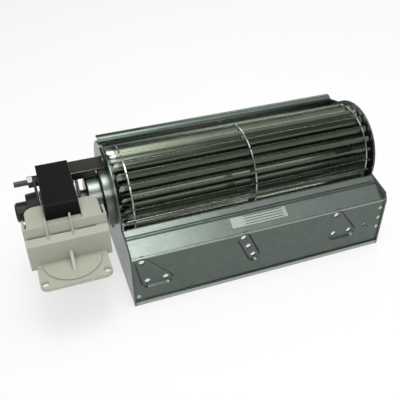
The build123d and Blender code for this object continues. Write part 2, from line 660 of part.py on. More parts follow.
# ---- moulded coil cover with towers, tray, cheeks, ribs and foot -----------------------
cover_top = flange_outer + FORMER_CLEARANCE + COVER_WALL
room_front = former_front - FORMER_CLEARANCE
rail_front = room_front - COVER_WALL
stack_room = STACK_THICKNESS / 2 + 2 * FORMER_CLEARANCE
room_half = former_half + FORMER_CLEARANCE
foot_top = FOOT_SHEET - cover_top
with BuildPart() as coil_cover:
    # towers over both sides of the coil, open behind
    with BuildSketch(Plane.XY.offset(AXIS_HEIGHT - cover_top)) as tower_plan:
        with Locations((motor_mid, rail_front)):
            Rectangle(2 * TOWER_HALF_WIDTH, -COVER_BACK - rail_front,
                      align=(Align.CENTER, Align.MIN))
        fillet(tower_plan.vertices().group_by(Axis.Y)[-1], TOWER_ROUND)
    extrude(amount=2 * cover_top)
    # front wall, thicker than the rest, with a sloping top and an upstand behind it
    with BuildSketch(section(motor_mid - COVER_HALF_WIDTH)):
        with BuildLine():
            Polyline((room_front, -cover_top), (-COVER_FRONT, -cover_top),
                     (-COVER_FRONT, TRAY_HEIGHT - TRAY_FALL), (-COVER_FRONT + TRAY_RUN, TRAY_HEIGHT),
                     (rail_front, TRAY_HEIGHT), (rail_front, cover_top), (room_front, cover_top),
                     close=True)
        make_face()
    extrude(amount=2 * COVER_HALF_WIDTH)
    # cheeks stand outside the towers
    cheek_x = COVER_HALF_WIDTH - COVER_WALL / 2
    with BuildSketch(Plane.XY.offset(AXIS_HEIGHT - cover_top)):
        with Locations((motor_mid - cheek_x, rail_front), (motor_mid + cheek_x, rail_front)):
            Rectangle(COVER_WALL, CHEEK_LENGTH, align=(Align.CENTER, Align.MIN))
    extrude(amount=2 * cover_top)
    # room for the coil and its former
    with BuildSketch(Plane.XY.offset(AXIS_HEIGHT - cover_top + COVER_WALL)):
        with Locations((motor_mid, room_front)):
            Rectangle(2 * room_half, COVER_FRONT, align=(Align.CENTER, Align.MIN))
    extrude(amount=2 * (cover_top - COVER_WALL), mode=Mode.SUBTRACT)
    # room for the laminations
    with BuildSketch(Plane.XY.offset(AXIS_HEIGHT - cover_top)):
        with Locations((motor_mid, -STACK_FRONT - 2 * FORMER_CLEARANCE)):
            Rectangle(2 * stack_room, COVER_FRONT, align=(Align.CENTER, Align.MIN))
    extrude(amount=2 * cover_top, mode=Mode.SUBTRACT)
    # the former shows between the towers
    with BuildSketch(Plane.XY.offset(AXIS_HEIGHT + cover_top - COVER_WALL)):
        with Locations((motor_mid, room_front)):
            Rectangle(2 * stack_room, COVER_FRONT, align=(Align.CENTER, Align.MIN))
    extrude(amount=COVER_WALL, mode=Mode.SUBTRACT)
    # stiffening ribs from the sloping top over the upstand to the laminations
    for place in RIB_PLACES:
        with BuildSketch(section(motor_mid + place - RIB_SHEET / 2)):
            with BuildLine():
                Polyline((-STACK_FRONT - FORMER_CLEARANCE, cover_top - COVER_WALL),
                         (-STACK_FRONT - FORMER_CLEARANCE, cover_top + RIB_SHEET),
                         (rail_front, cover_top + RIB_SHEET / 2),
                         (-COVER_FRONT + TRAY_RUN / 2, TRAY_HEIGHT - TRAY_FALL / 2),
                         (room_front, TRAY_HEIGHT - TRAY_FALL / 2),
                         (room_front, cover_top - COVER_WALL), close=True)
            make_face()
        extrude(amount=RIB_SHEET)
    # wire slots between the sloping top and the upstand
    with BuildSketch(Plane.XY.offset(AXIS_HEIGHT + TRAY_HEIGHT)):
        for low, high in WIRE_SLOTS:
            with Locations((motor_mid + (low + high) / 2, rail_front)):
                Rectangle(high - low, SLOT_WIDTH, align=(Align.CENTER, Align.MAX))
    extrude(amount=-SLOT_DEPTH, mode=Mode.SUBTRACT)
    # foot with two screw holes
    with BuildSketch(Plane.XY.offset(AXIS_HEIGHT - cover_top)) as foot_plan:
        with Locations((motor_mid, -FOOT_REACH)):
            Rectangle(FOOT_WIDTH, FOOT_REACH - COVER_FRONT + COVER_WALL,
                      align=(Align.CENTER, Align.MIN))
        fillet(foot_plan.vertices().group_by(Axis.Y)[0], FOOT_ROUND)
        with Locations((motor_mid, -FOOT_REACH + FOOT_FRONT_MARGIN)):
            with GridLocations(FOOT_WIDTH - 2 * FOOT_SIDE_MARGIN, 0, 2, 1):
                Circle(FOOT_HOLE_RADIUS, mode=Mode.SUBTRACT)
    extrude(amount=FOOT_SHEET)
    # hollow bend, half-round plinth and gusset between the front wall and the foot
    with BuildSketch(section(motor_mid - FOOT_WIDTH / 2)):
        with BuildLine():
            bend = CenterArc((-COVER_FRONT - FOOT_BEND, foot_top + FOOT_BEND), FOOT_BEND, 270, 90)
            Polyline(bend @ 0, (-COVER_FRONT, foot_top), bend @ 1)
        make_face()
    extrude(amount=FOOT_WIDTH)
    with BuildSketch(Plane.XY.offset(AXIS_HEIGHT + foot_top)):
        with Locations((motor_mid, -COVER_FRONT)):
            Circle(PLINTH_RADIUS)
            Rectangle(2 * PLINTH_RADIUS, PLINTH_RADIUS, align=(Align.CENTER, Align.MIN),
                      mode=Mode.SUBTRACT)
    extrude(amount=PLINTH_HEIGHT)
    with BuildSketch(section(motor_mid - GUSSET_SHEET / 2)):
        with BuildLine():
            Polyline((-COVER_FRONT, foot_top), (-COVER_FRONT - GUSSET_REACH, foot_top),
                     (-COVER_FRONT, foot_top + GUSSET_HEIGHT), close=True)
        make_face()
    extrude(amount=GUSSET_SHEET)

# ---- bearing bridges: die-cast, each on the two clamp rods -----------------------------


def bearing_bridge(foot_x, plate_x, plate_step, hub_step, hub_radius):
    """Plate between the rods with a hub on the axis; steps are signed along X."""
    with BuildPart() as bridge:
        with BuildSketch(section(plate_x)):
            with Locations(*rod_places):
                Circle(BRIDGE_BOSS_RADIUS)
            Circle(hub_radius + HUB_SHOULDER)
            make_hull()
        extrude(amount=plate_step)
        with BuildSketch(section(plate_x)):
            with Locations(*rod_places):
                Circle(BRIDGE_BOSS_RADIUS)
        extrude(amount=foot_x - plate_x)
        with BuildSketch(section(plate_x + plate_step)):
            Circle(hub_radius)
        extrude(amount=hub_step, taper=HUB_DRAFT)
        with BuildSketch(section(plate_x)):
            Circle(bush_radius)
        extrude(amount=plate_step + hub_step, mode=Mode.SUBTRACT)
        with BuildSketch(section(foot_x)):
            with Locations(*rod_places):
                Circle(ROD_RADIUS + ROD_CLEARANCE)
        extrude(amount=plate_x + plate_step - foot_x, mode=Mode.SUBTRACT)
    return bridge


outer_bridge = bearing_bridge(stack_left, outer_plate_x + BRIDGE_PLATE, -BRIDGE_PLATE,
                              -OUTER_HUB_LENGTH, OUTER_HUB_RADIUS)
inner_bridge = bearing_bridge(stack_right + EAR_SHEET, inner_plate_x, BRIDGE_PLATE,
                              INNER_HUB_LENGTH, INNER_HUB_RADIUS)
outer_bush = round_bar(outer_hub_x, outer_plate_x + BRIDGE_PLATE, bush_radius, bearing_radius)
inner_bush = round_bar(inner_plate_x, inner_hub_x, bush_radius, bearing_radius)

with BuildPart() as bearing_cap:
    with BuildSketch(section(outer_hub_x)):
        Circle(CAP_RADIUS)
    extrude(amount=-CAP_LENGTH)
    chamfer(bearing_cap.edges().filter_by(GeomType.CIRCLE).sort_by(Axis.X)[0], CAP_WALL)
    with BuildSketch(section(outer_hub_x)):
        Circle(CAP_RADIUS - CAP_WALL)
    extrude(amount=CAP_WALL - CAP_LENGTH, mode=Mode.SUBTRACT)

# ---- clamp rods and nuts ---------------------------------------------------------------
outer_nut_x = outer_plate_x - NUT_THICKNESS
inner_nut_x = inner_plate_x + BRIDGE_PLATE
rod_left = outer_plate_x - ROD_OVERHANG
rod_right = inner_nut_x + NUT_THICKNESS + ROD_TIP
with BuildPart() as clamp_rods:
    with BuildSketch(section(rod_left)):
        with Locations(*rod_places):
            Circle(ROD_RADIUS)
    extrude(amount=rod_right - rod_left)
    chamfer(clamp_rods.edges().filter_by(GeomType.CIRCLE), ROD_CHAMFER)

with BuildPart() as clamp_nuts:
    for nut_x in (outer_nut_x, inner_nut_x):
        with BuildSketch(section(nut_x)):
            with Locations(*rod_places):
                RegularPolygon(NUT_WIDTH / 2, 6, major_radius=False)
                Circle(ROD_RADIUS + RUNNING_CLEARANCE, mode=Mode.SUBTRACT)
        extrude(amount=NUT_THICKNESS)

# ---- solder tags of the coil -----------------------------------------------------------
with BuildPart() as terminal_tags:
    with BuildSketch(Plane.XY.offset(AXIS_HEIGHT - cover_top)):
        with Locations((motor_mid, -TAG_REACH)):
            with GridLocations(TAG_SPACING, 0, 2, 1):
                Rectangle(TAG_WIDTH, TAG_SHEET)
    extrude(amount=-TAG_LENGTH)
    chamfer(terminal_tags.edges().group_by(Axis.Z)[0].filter_by(Axis.Y), TAG_CHAMFER)

# ---- blank rating label on the tongue, between the bead and the fold -------------------
label_width = LABEL_SHARE * (Vector(*ridge) - bead_end).length
label_middle = bead_end + tongue_run * (LABEL_MARGIN + label_width / 2)
label_plane = Plane(origin=(LABEL_X, label_middle.X, AXIS_HEIGHT + label_middle.Y),
                    x_dir=(1, 0, 0), z_dir=(0, tongue_up.X, tongue_up.Y))
with BuildPart() as rating_label:
    with BuildSketch(label_plane):
        RectangleRounded(LABEL_LENGTH, label_width, LABEL_CORNER)
    extrude(amount=LABEL_SHEET)

# ---- rivets: front wall to the end flanges, and arms to the end plate ------------------
rivet_x = half_length - RIVET_INSET
with BuildPart() as wall_rivets:
    with BuildSketch(front_face):
        with Locations(*[(rivet_x, -drop) for drop in RIVET_DROPS],
                       (-rivet_x, LEFT_RIVET_LIFT - AXIS_HEIGHT)):
            Circle(RIVET_HEAD_RADIUS)
    extrude(amount=RIVET_HEAD)

with BuildPart() as arm_rivets:
    with BuildSketch(section(plate_face - ARM_SHEET)):
        with Locations((arm_middle, 0)):
            with GridLocations(ARM_RIVET_SPACING, 2 * ARM_HEIGHT + ARM_FOOT, 2, 2):
                Circle(RIVET_HEAD_RADIUS)
    extrude(amount=-RIVET_HEAD)

pieces = {
    "rear_wall": rear_wall,
    "front_wall": front_wall,
    "motor_end_plate": motor_end_plate,
    "bearing_end_plate": bearing_end_plate,
    "motor_cup": motor_cup,
    "motor_arms": motor_arms,
    "impeller_blades": impeller_blades,
    "drive_disc": drive_disc,
    "middle_ring": middle_ring,
    "end_disc": end_disc,
    "drive_hub": drive_hub,
    "stub_boss": stub_boss,
    "motor_shaft": motor_shaft,
    "stub_shaft": stub_shaft,
    "rotor_core": rotor_core,
    "end_bush": end_bush,
    "bearing_grommet": bearing_grommet,
    "stator_stack": stator_stack,
    "shading_rings": shading_rings,
    "coil_former": coil_former,
    "coil_winding": coil_winding,
    "coil_cover": coil_cover,
    "outer_bridge": outer_bridge,
    "inner_bridge": inner_bridge,
    "outer_bush": outer_bush,
    "inner_bush": inner_bush,
    "bearing_cap": bearing_cap,
    "clamp_rods": clamp_rods,
    "clamp_nuts": clamp_nuts,
    "terminal_tags": terminal_tags,
    "rating_label": rating_label,
    "wall_rivets": wall_rivets,
    "arm_rivets": arm_rivets,
}
os.makedirs("parts", exist_ok=True)
for name, piece in pieces.items():
    piece.part.label = name
    export_step(piece.part, "parts/" + name + ".step")
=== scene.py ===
import logging
import math
from dataclasses import dataclass
from enum import Enum
from typing import Callable, Iterable, Sequence

import bmesh
import bpy
from mathutils import Matrix, Vector


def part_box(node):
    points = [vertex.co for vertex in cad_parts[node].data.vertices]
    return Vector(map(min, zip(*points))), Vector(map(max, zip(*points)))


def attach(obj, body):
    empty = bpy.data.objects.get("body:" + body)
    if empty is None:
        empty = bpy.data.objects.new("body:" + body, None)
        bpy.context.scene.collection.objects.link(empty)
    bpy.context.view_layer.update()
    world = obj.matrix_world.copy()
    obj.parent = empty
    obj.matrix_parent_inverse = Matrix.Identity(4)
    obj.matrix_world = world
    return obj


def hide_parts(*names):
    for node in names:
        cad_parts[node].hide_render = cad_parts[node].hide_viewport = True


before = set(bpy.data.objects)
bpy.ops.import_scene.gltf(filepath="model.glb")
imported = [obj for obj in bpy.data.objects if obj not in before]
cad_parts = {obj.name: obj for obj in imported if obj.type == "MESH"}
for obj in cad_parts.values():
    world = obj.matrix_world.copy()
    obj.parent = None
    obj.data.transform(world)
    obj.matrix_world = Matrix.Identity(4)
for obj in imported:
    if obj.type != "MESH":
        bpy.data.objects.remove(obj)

logging.basicConfig(level=logging.INFO, format="%(message)s")
log = logging.getLogger("cross_flow_fan")

MM = 0.001                  # the frame is in metres, the sizes below are in millimetres
AXIS_HEIGHT = 53.1          # fan axis above the outlet rim
HALF_LENGTH = 89.75         # outer faces of the end plates, from the middle
FRONT_REACH = 51.4          # outer face of the front wall, ahead of the axis
RIDGE_DROP = 14.4           # fold above the front wall, below the axis
HEM_HEIGHT = 3.0            # folded lower edge of the front wall
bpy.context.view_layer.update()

# sockets of a Mix node by number, because its names repeat for each type of data
FACTOR, FIRST, SECOND, MIXED = 0, 6, 7, 2
FIRST_FLOAT, SECOND_FLOAT = 2, 3
BLEND = {"data_type": "RGBA"}
TINT = {"data_type": "RGBA", "blend_type": "MULTIPLY"}

# how every finish varies
PATCH_SHARE = 0.5           # share of a colour's swing that comes from slow patches
GRAIN_SHARE = 0.45          # and from fine grain
SWING_BASE = 0.05
ROUGHNESS_SWING = 0.06      # roughness to either side of its base
ROUGHNESS_LEAST = 0.03
NOOK_SHARE = (0.25, 0.85)   # occlusion of a deep corner and of an open face
EDGE_COSINE = (0.80, 0.97)  # true against rounded normal, on an edge with painted highlight and on a flat

# patterns of the single finishes, in millimetres and sRGB colours
CRYSTAL = 5.0               # zinc crystals
CRYSTAL_TONE = (0.95, 1.04)
# zinc colour of the painted light on inner faces and of the painted highlights on the fold and the hem
PAINTED_LIGHT_ZINC = "bcc3bd"
FACING_IN = (-0.65, -0.25)  # normal against outward direction, from full painted light to none
FOLD_HIGHLIGHT = (0.55, 0.95)     # painted highlight band round the fold: full and faded out
FOLD_SHARE = 0.9
HEM_FADE = 0.6              # height over which the hem's painted highlight starts
HEM_SHARE = 0.6
LIT_ROOT = (26.0, 28.6)   # blade radius: painted light up to, none from
ROOT_LIGHT_COLOUR = "9ba294"
STAKED_LEFT = (-84.0, -82.6)
STAKED_RIGHT = (85.4, 86.4)
STAKED_COLOUR = "828881"
LAMINATION = 0.5            # thickness of one steel sheet
JOINT_WAVE = (-1.0, -0.4)   # part of the wave that is a joint
JOINT_TONE = 0.55
TONGUE_SLOPE = (0.0, 0.903, 0.43)
RULE_PITCH = 1.8
RULE_HALF = 0.26            # half the width of a rule
FIELD_MIDDLE = 1.5
FIELD_HALF = 13.5
INK = "2f3733"


class Body(Enum):
    """CAD bodies that the pieces ride on."""

    HOUSING = "housing"
    ROTOR = "rotor"


class Along(Enum):
    """Directions in which a turned piece stands out."""

    FRONT = (0.0, -1.0, 0.0)
    LEFT = (-1.0, 0.0, 0.0)


# ---- colour and node helpers -------------------------------------------------------------


def srgb(code: str) -> tuple[float, float, float, float]:
    """Turn an sRGB hex colour into the linear values that the shaders take.

    Args:
        code: Colour such as "8a9289".

    Returns:
        Linear red, green, blue and an alpha of 1.
    """
    parts = [int(code[i:i + 2], 16) / 255 for i in (0, 2, 4)]
    red, green, blue = (p / 12.92 if p <= 0.04045 else ((p + 0.055) / 1.055) ** 2.4 for p in parts)
    return (red, green, blue, 1.0)


def per_mm(size: float) -> float:
    """Scale of a pattern whose features are this many millimetres, on coordinates in metres."""
    return 1000.0 / size


def add_node(tree: bpy.types.NodeTree, kind: str, settings: dict | None = None,
             inputs: dict | None = None) -> bpy.types.Node:
    """Add a node, set its properties, and fill or link its inputs.

    Args:
        tree: Node tree that the node goes into.
        kind: Blender's name of the node type.
        settings: Properties of the node by name.
        inputs: Values or output sockets by input name or number.

    Returns:
        The new node.
    """
    made = tree.nodes.new(kind)
    for name, value in (settings or {}).items():
        setattr(made, name, value)
    for key, value in (inputs or {}).items():
        if isinstance(value, bpy.types.NodeSocket):
            tree.links.new(value, made.inputs[key])
        else:
            made.inputs[key].default_value = value
    return made


class Recipe:
    """Node tree of one material, with its shader and its place in the row frame."""

    def __init__(self, name: str) -> None:
        """Start an empty material with a Principled shader.

        Args:
            name: Name of the real material and of how its surface was made.
        """
        self.material = bpy.data.materials.new(name)
        self.material.use_nodes = True
        self.tree = self.material.node_tree
        self.tree.nodes.clear()
        self.shader = self.add("ShaderNodeBsdfPrincipled")
        output = self.add("ShaderNodeOutputMaterial", inputs={"Surface": self.shader.outputs[0]})
        self.surface = output.inputs["Surface"]
        coordinates = self.add("ShaderNodeTexCoord")
        self.place = coordinates.outputs["Object"]
        self.normal = coordinates.outputs["Normal"]

    def add(self, kind: str, settings: dict | None = None,
            inputs: dict | None = None) -> bpy.types.Node:
        """Add a node to this material's tree; see add_node."""
        return add_node(self.tree, kind, settings, inputs)

    def link(self, output: bpy.types.NodeSocket, name: str) -> None:
        """Feed one of the shader's inputs from an output socket."""
        self.tree.links.new(output, self.shader.inputs[name])

    def constants(self, **values: float) -> None:
        """Set plain values on the shader; underscores in the names stand for spaces."""
        for name, value in values.items():
            self.shader.inputs[name.replace("_", " ")].default_value = value


# ---- finishes ------------------------------------------------------------------------------


@dataclass(frozen=True)
class Finish:
    """What every finish shares: a name, colours from dark to light, and a base roughness.

    Lengths are in millimetres.
    """

    name: str
    dark: str
    light: str
    roughness: float = 0.5
    metallic: float = 0.0
    patch: float = 30.0             # size of the slow patches
    grain: float = 1.0              # size of the fine grain
    grain_stretch: tuple[float, float, float] = (1.0, 1.0, 1.0)
    bump: float = 0.05
    bump_depth: float = 0.02
    corner_shade: float = 0.0       # how much darker a deep corner is
    corner_reach: float = 3.0
    edge_round: float = 0.0
    coat: float = 0.0
    shine: float = 0.5              # specular level
    edge_highlight: str = ""           # colour of the painted edge highlight, if there is one
    edge_highlight_width: float = 0.3
    detail: Callable[[Recipe, bpy.types.NodeSocket], bpy.types.NodeSocket] | None = None

    def material(self) -> bpy.types.Material:
        """Build the material once and return it.

        Returns:
            The material, made on the first call.
        """
        known = bpy.data.materials.get(self.name)
        if known is not None:
            return known
        recipe = Recipe(self.name)
        # slow patches of colour, from handling, rolling or moulding
        patches = recipe.add("ShaderNodeTexNoise", inputs={
            "Vector": recipe.place, "Scale": per_mm(self.patch), "Detail": 3.0})
        stretched = recipe.add("ShaderNodeMapping", inputs={
            "Vector": recipe.place, "Scale": self.grain_stretch})
        grains = recipe.add("ShaderNodeTexNoise", inputs={
            "Vector": stretched.outputs[0], "Scale": per_mm(self.grain), "Detail": 4.0})
        both = recipe.add("ShaderNodeMath", {"operation": "MULTIPLY_ADD"}, {
            0: grains.outputs[0], 1: GRAIN_SHARE, 2: SWING_BASE})
        blend = recipe.add("ShaderNodeMath", {"operation": "MULTIPLY_ADD"}, {
            0: patches.outputs[0], 1: PATCH_SHARE, 2: both.outputs[0]})
        colour = recipe.add("ShaderNodeMix", BLEND, {
            FACTOR: blend.outputs[0], FIRST: srgb(self.dark),
            SECOND: srgb(self.light)}).outputs[MIXED]
        if self.detail is not None:
            colour = self.detail(recipe, colour)
        if self.corner_shade > 0:
            # painted shade: folds and corners darkened where ambient occlusion is deep
            nook = recipe.add("ShaderNodeAmbientOcclusion", {"samples": 4}, {
                "Distance": self.corner_reach * MM})
            shade = recipe.add("ShaderNodeMapRange", inputs={
                "Value": nook.outputs["AO"], "From Min": NOOK_SHARE[0], "From Max": NOOK_SHARE[1],
                "To Min": 1 - self.corner_shade, "To Max": 1.0})
            colour = recipe.add("ShaderNodeMix", TINT, {
                FACTOR: 1.0, FIRST: colour, SECOND: shade.outputs[0]}).outputs[MIXED]
        if self.edge_highlight:
            # painted highlight along sharp edges, found with a bevel mask
            turned_edge = recipe.add("ShaderNodeBevel", {"samples": 4}, {
                "Radius": self.edge_highlight_width * MM})
            flat = recipe.add("ShaderNodeNewGeometry").outputs["Normal"]
            same = recipe.add("ShaderNodeVectorMath", {"operation": "DOT_PRODUCT"}, {
                0: turned_edge.outputs[0], 1: flat})
            edge_lit = recipe.add("ShaderNodeMapRange", inputs={
                "Value": same.outputs["Value"], "From Min": EDGE_COSINE[0],
                "From Max": EDGE_COSINE[1], "To Min": 1.0, "To Max": 0.0})
            colour = recipe.add("ShaderNodeMix", BLEND, {
                FACTOR: edge_lit.outputs[0], FIRST: colour,
                SECOND: srgb(self.edge_highlight)}).outputs[MIXED]
        recipe.link(colour, "Base Color")
        rough = recipe.add("ShaderNodeMapRange", inputs={
            "Value": blend.outputs[0], "From Min": 0.3, "From Max": 0.7,
            "To Min": max(ROUGHNESS_LEAST, self.roughness - ROUGHNESS_SWING),
            "To Max": self.roughness + ROUGHNESS_SWING})
        recipe.link(rough.outputs[0], "Roughness")
        raised = {"Height": grains.outputs[0], "Strength": self.bump,
                  "Distance": self.bump_depth * MM}
        if self.edge_round > 0:
            rounded = recipe.add("ShaderNodeBevel", {"samples": 4}, {"Radius": self.edge_round * MM})
            raised["Normal"] = rounded.outputs[0]
        recipe.link(recipe.add("ShaderNodeBump", inputs=raised).outputs[0], "Normal")
        recipe.constants(Metallic=self.metallic, Coat_Weight=self.coat,
                         Specular_IOR_Level=self.shine)
        return recipe.material


def spangle(recipe: Recipe, colour: bpy.types.NodeSocket) -> bpy.types.NodeSocket:
    """Faint zinc crystals of a hot-dip bath, flattened by skin-pass rolling.

    Args:
        recipe: The material.
        colour: Colour so far.

    Returns:
        The colour with the crystals in it.
    """
    crystals = recipe.add("ShaderNodeTexVoronoi", inputs={
        "Vector": recipe.place, "Scale": per_mm(CRYSTAL)})
    tone = recipe.add("ShaderNodeSeparateColor", inputs={0: crystals.outputs["Color"]})
    light = recipe.add("ShaderNodeMapRange", inputs={
        "Value": tone.outputs[0], "To Min": CRYSTAL_TONE[0], "To Max": CRYSTAL_TONE[1]})
    return recipe.add("ShaderNodeMix", TINT, {
        FACTOR: 1.0, FIRST: colour, SECOND: light.outputs[0]}).outputs[MIXED]


def painted_inner_light(recipe: Recipe, colour: bpy.types.NodeSocket) -> bpy.types.NodeSocket:
    """Painted light on the zinc faces that look towards the fan, in place of light bounced inside the
    housing.

    Args:
        recipe: The material.
        colour: Colour so far.

    Returns:
        The colour with the crystals and the painted light on the inner faces in it.
    """
    colour = spangle(recipe, colour)
    offset = recipe.add("ShaderNodeVectorMath", {"operation": "SUBTRACT"}, {
        0: recipe.place, 1: (0.0, 0.0, AXIS_HEIGHT * MM)})
    outward = recipe.add("ShaderNodeVectorMath", {"operation": "NORMALIZE"}, {
        0: offset.outputs[0]})
    faces_out = recipe.add("ShaderNodeVectorMath", {"operation": "DOT_PRODUCT"}, {
        0: outward.outputs[0], 1: recipe.normal})
    inner = recipe.add("ShaderNodeMapRange", inputs={
        "Value": faces_out.outputs["Value"], "From Min": FACING_IN[0], "From Max": FACING_IN[1],
        "To Min": 1.0, "To Max": 0.0})
    return recipe.add("ShaderNodeMix", BLEND, {
        FACTOR: inner.outputs[0], FIRST: colour, SECOND: srgb(PAINTED_LIGHT_ZINC)}).outputs[MIXED]


def painted_fold_highlight(recipe: Recipe, colour: bpy.types.NodeSocket) -> bpy.types.NodeSocket:
    """Painted highlights along the fold and along the hem of the front wall.

    Args:
        recipe: The material.
        colour: Colour so far.

    Returns:
        The colour with the crystals and the painted highlights on the fold and the hem in it.
    """
    colour = spangle(recipe, colour)
    across = recipe.add("ShaderNodeVectorMath", {"operation": "MULTIPLY"}, {
        0: recipe.place, 1: (0.0, 1.0, 1.0)})
    reach = recipe.add("ShaderNodeVectorMath", {"operation": "DISTANCE"}, {
        0: across.outputs[0], 1: (0.0, -FRONT_REACH * MM, (AXIS_HEIGHT - RIDGE_DROP) * MM)})
    fold_lit = recipe.add("ShaderNodeMapRange", inputs={
        "Value": reach.outputs["Value"], "From Min": FOLD_HIGHLIGHT[0] * MM,
        "From Max": FOLD_HIGHLIGHT[1] * MM, "To Min": FOLD_SHARE, "To Max": 0.0})
    height = recipe.add("ShaderNodeSeparateXYZ", inputs={0: recipe.place})
    hem = recipe.add("ShaderNodeMapRange", inputs={
        "Value": height.outputs["Z"], "From Min": (HEM_HEIGHT - HEM_FADE) * MM,
        "From Max": HEM_HEIGHT * MM, "To Min": HEM_SHARE, "To Max": 0.0})
    bright = recipe.add("ShaderNodeMath", {"operation": "MAXIMUM"}, {
        0: fold_lit.outputs[0], 1: hem.outputs[0]})
    return recipe.add("ShaderNodeMix", BLEND, {
        FACTOR: bright.outputs[0], FIRST: colour, SECOND: srgb(PAINTED_LIGHT_ZINC)}).outputs[MIXED]


def painted_root_light_strip(recipe: Recipe, colour: bpy.types.NodeSocket) -> bpy.types.NodeSocket:
    """Blade strip: dark outside, painted lighter towards the axis in place of light bounced inside the
    drum, bright at its staked ends.

    Args:
        recipe: The material.
        colour: Colour so far.

    Returns:
        The colour with the painted light at the root and the bright ends in it.
    """
    offset = recipe.add("ShaderNodeVectorMath", {"operation": "SUBTRACT"}, {
        0: recipe.place, 1: (0.0, 0.0, AXIS_HEIGHT * MM)})
    across = recipe.add("ShaderNodeVectorMath", {"operation": "MULTIPLY"}, {
        0: offset.outputs[0], 1: (0.0, 1.0, 1.0)})
    radius = recipe.add("ShaderNodeVectorMath", {"operation": "LENGTH"}, {
        0: across.outputs[0]})
    root = recipe.add("ShaderNodeMapRange", inputs={
        "Value": radius.outputs["Value"], "From Min": LIT_ROOT[0] * MM,
        "From Max": LIT_ROOT[1] * MM, "To Min": 1.0, "To Max": 0.0})
    lit_root = recipe.add("ShaderNodeMix", BLEND, {
        FACTOR: root.outputs[0], FIRST: colour, SECOND: srgb(ROOT_LIGHT_COLOUR)})
    along = recipe.add("ShaderNodeSeparateXYZ", inputs={0: recipe.place})
    left = recipe.add("ShaderNodeMapRange", inputs={
        "Value": along.outputs["X"], "From Min": STAKED_LEFT[0] * MM,
        "From Max": STAKED_LEFT[1] * MM, "To Min": 1.0, "To Max": 0.0})
    right = recipe.add("ShaderNodeMapRange", inputs={
        "Value": along.outputs["X"], "From Min": STAKED_RIGHT[0] * MM,
        "From Max": STAKED_RIGHT[1] * MM, "To Min": 0.0, "To Max": 1.0})
    staked = recipe.add("ShaderNodeMath", {"operation": "MAXIMUM"}, {
        0: left.outputs[0], 1: right.outputs[0]})
    return recipe.add("ShaderNodeMix", BLEND, {
        FACTOR: staked.outputs[0], FIRST: lit_root.outputs[MIXED],
        SECOND: srgb(STAKED_COLOUR)}).outputs[MIXED]


def laminations(recipe: Recipe, colour: bpy.types.NodeSocket) -> bpy.types.NodeSocket:
    """Thin dark joints between steel sheets, stacked along the fan axis.

    Args:
        recipe: The material.
        colour: Colour so far.

    Returns:
        The colour with the joints in it.
    """
    along = recipe.add("ShaderNodeSeparateXYZ", inputs={0: recipe.place})
    turns = recipe.add("ShaderNodeMath", {"operation": "MULTIPLY"}, {
        0: along.outputs["X"], 1: 2 * math.pi / (LAMINATION * MM)})
    wave = recipe.add("ShaderNodeMath", {"operation": "SINE"}, {0: turns.outputs[0]})
    joint = recipe.add("ShaderNodeMapRange", inputs={
        "Value": wave.outputs[0], "From Min": JOINT_WAVE[0], "From Max": JOINT_WAVE[1],
        "To Min": JOINT_TONE, "To Max": 1.0})
    return recipe.add("ShaderNodeMix", TINT, {
        FACTOR: 1.0, FIRST: colour, SECOND: joint.outputs[0]}).outputs[MIXED]


def ruled_fields(recipe: Recipe, colour: bpy.types.NodeSocket) -> bpy.types.NodeSocket:
    """Thin dark rules of empty fields on a blank label.

    Args:
        recipe: The material.
        colour: Colour so far.

    Returns:
        The colour with the rules in it.
    """
    across = recipe.add("ShaderNodeVectorMath", {"operation": "DOT_PRODUCT"}, {
        0: recipe.place, 1: TONGUE_SLOPE})
    rows = recipe.add("ShaderNodeMath", {"operation": "PINGPONG"}, {
        0: across.outputs["Value"], 1: RULE_PITCH / 2 * MM})
    line = recipe.add("ShaderNodeMath", {"operation": "LESS_THAN"}, {
        0: rows.outputs[0], 1: RULE_HALF * MM})
    along = recipe.add("ShaderNodeSeparateXYZ", inputs={0: recipe.place})
    middle = recipe.add("ShaderNodeMath", {"operation": "SUBTRACT"}, {
        0: along.outputs["X"], 1: FIELD_MIDDLE * MM})
    reach = recipe.add("ShaderNodeMath", {"operation": "ABSOLUTE"}, {0: middle.outputs[0]})
    inside = recipe.add("ShaderNodeMath", {"operation": "LESS_THAN"}, {
        0: reach.outputs[0], 1: FIELD_HALF * MM})
    ink = recipe.add("ShaderNodeMath", {"operation": "MULTIPLY"}, {
        0: line.outputs[0], 1: inside.outputs[0]})
    return recipe.add("ShaderNodeMix", BLEND, {
        FACTOR: ink.outputs[0], FIRST: colour, SECOND: srgb(INK)}).outputs[MIXED]


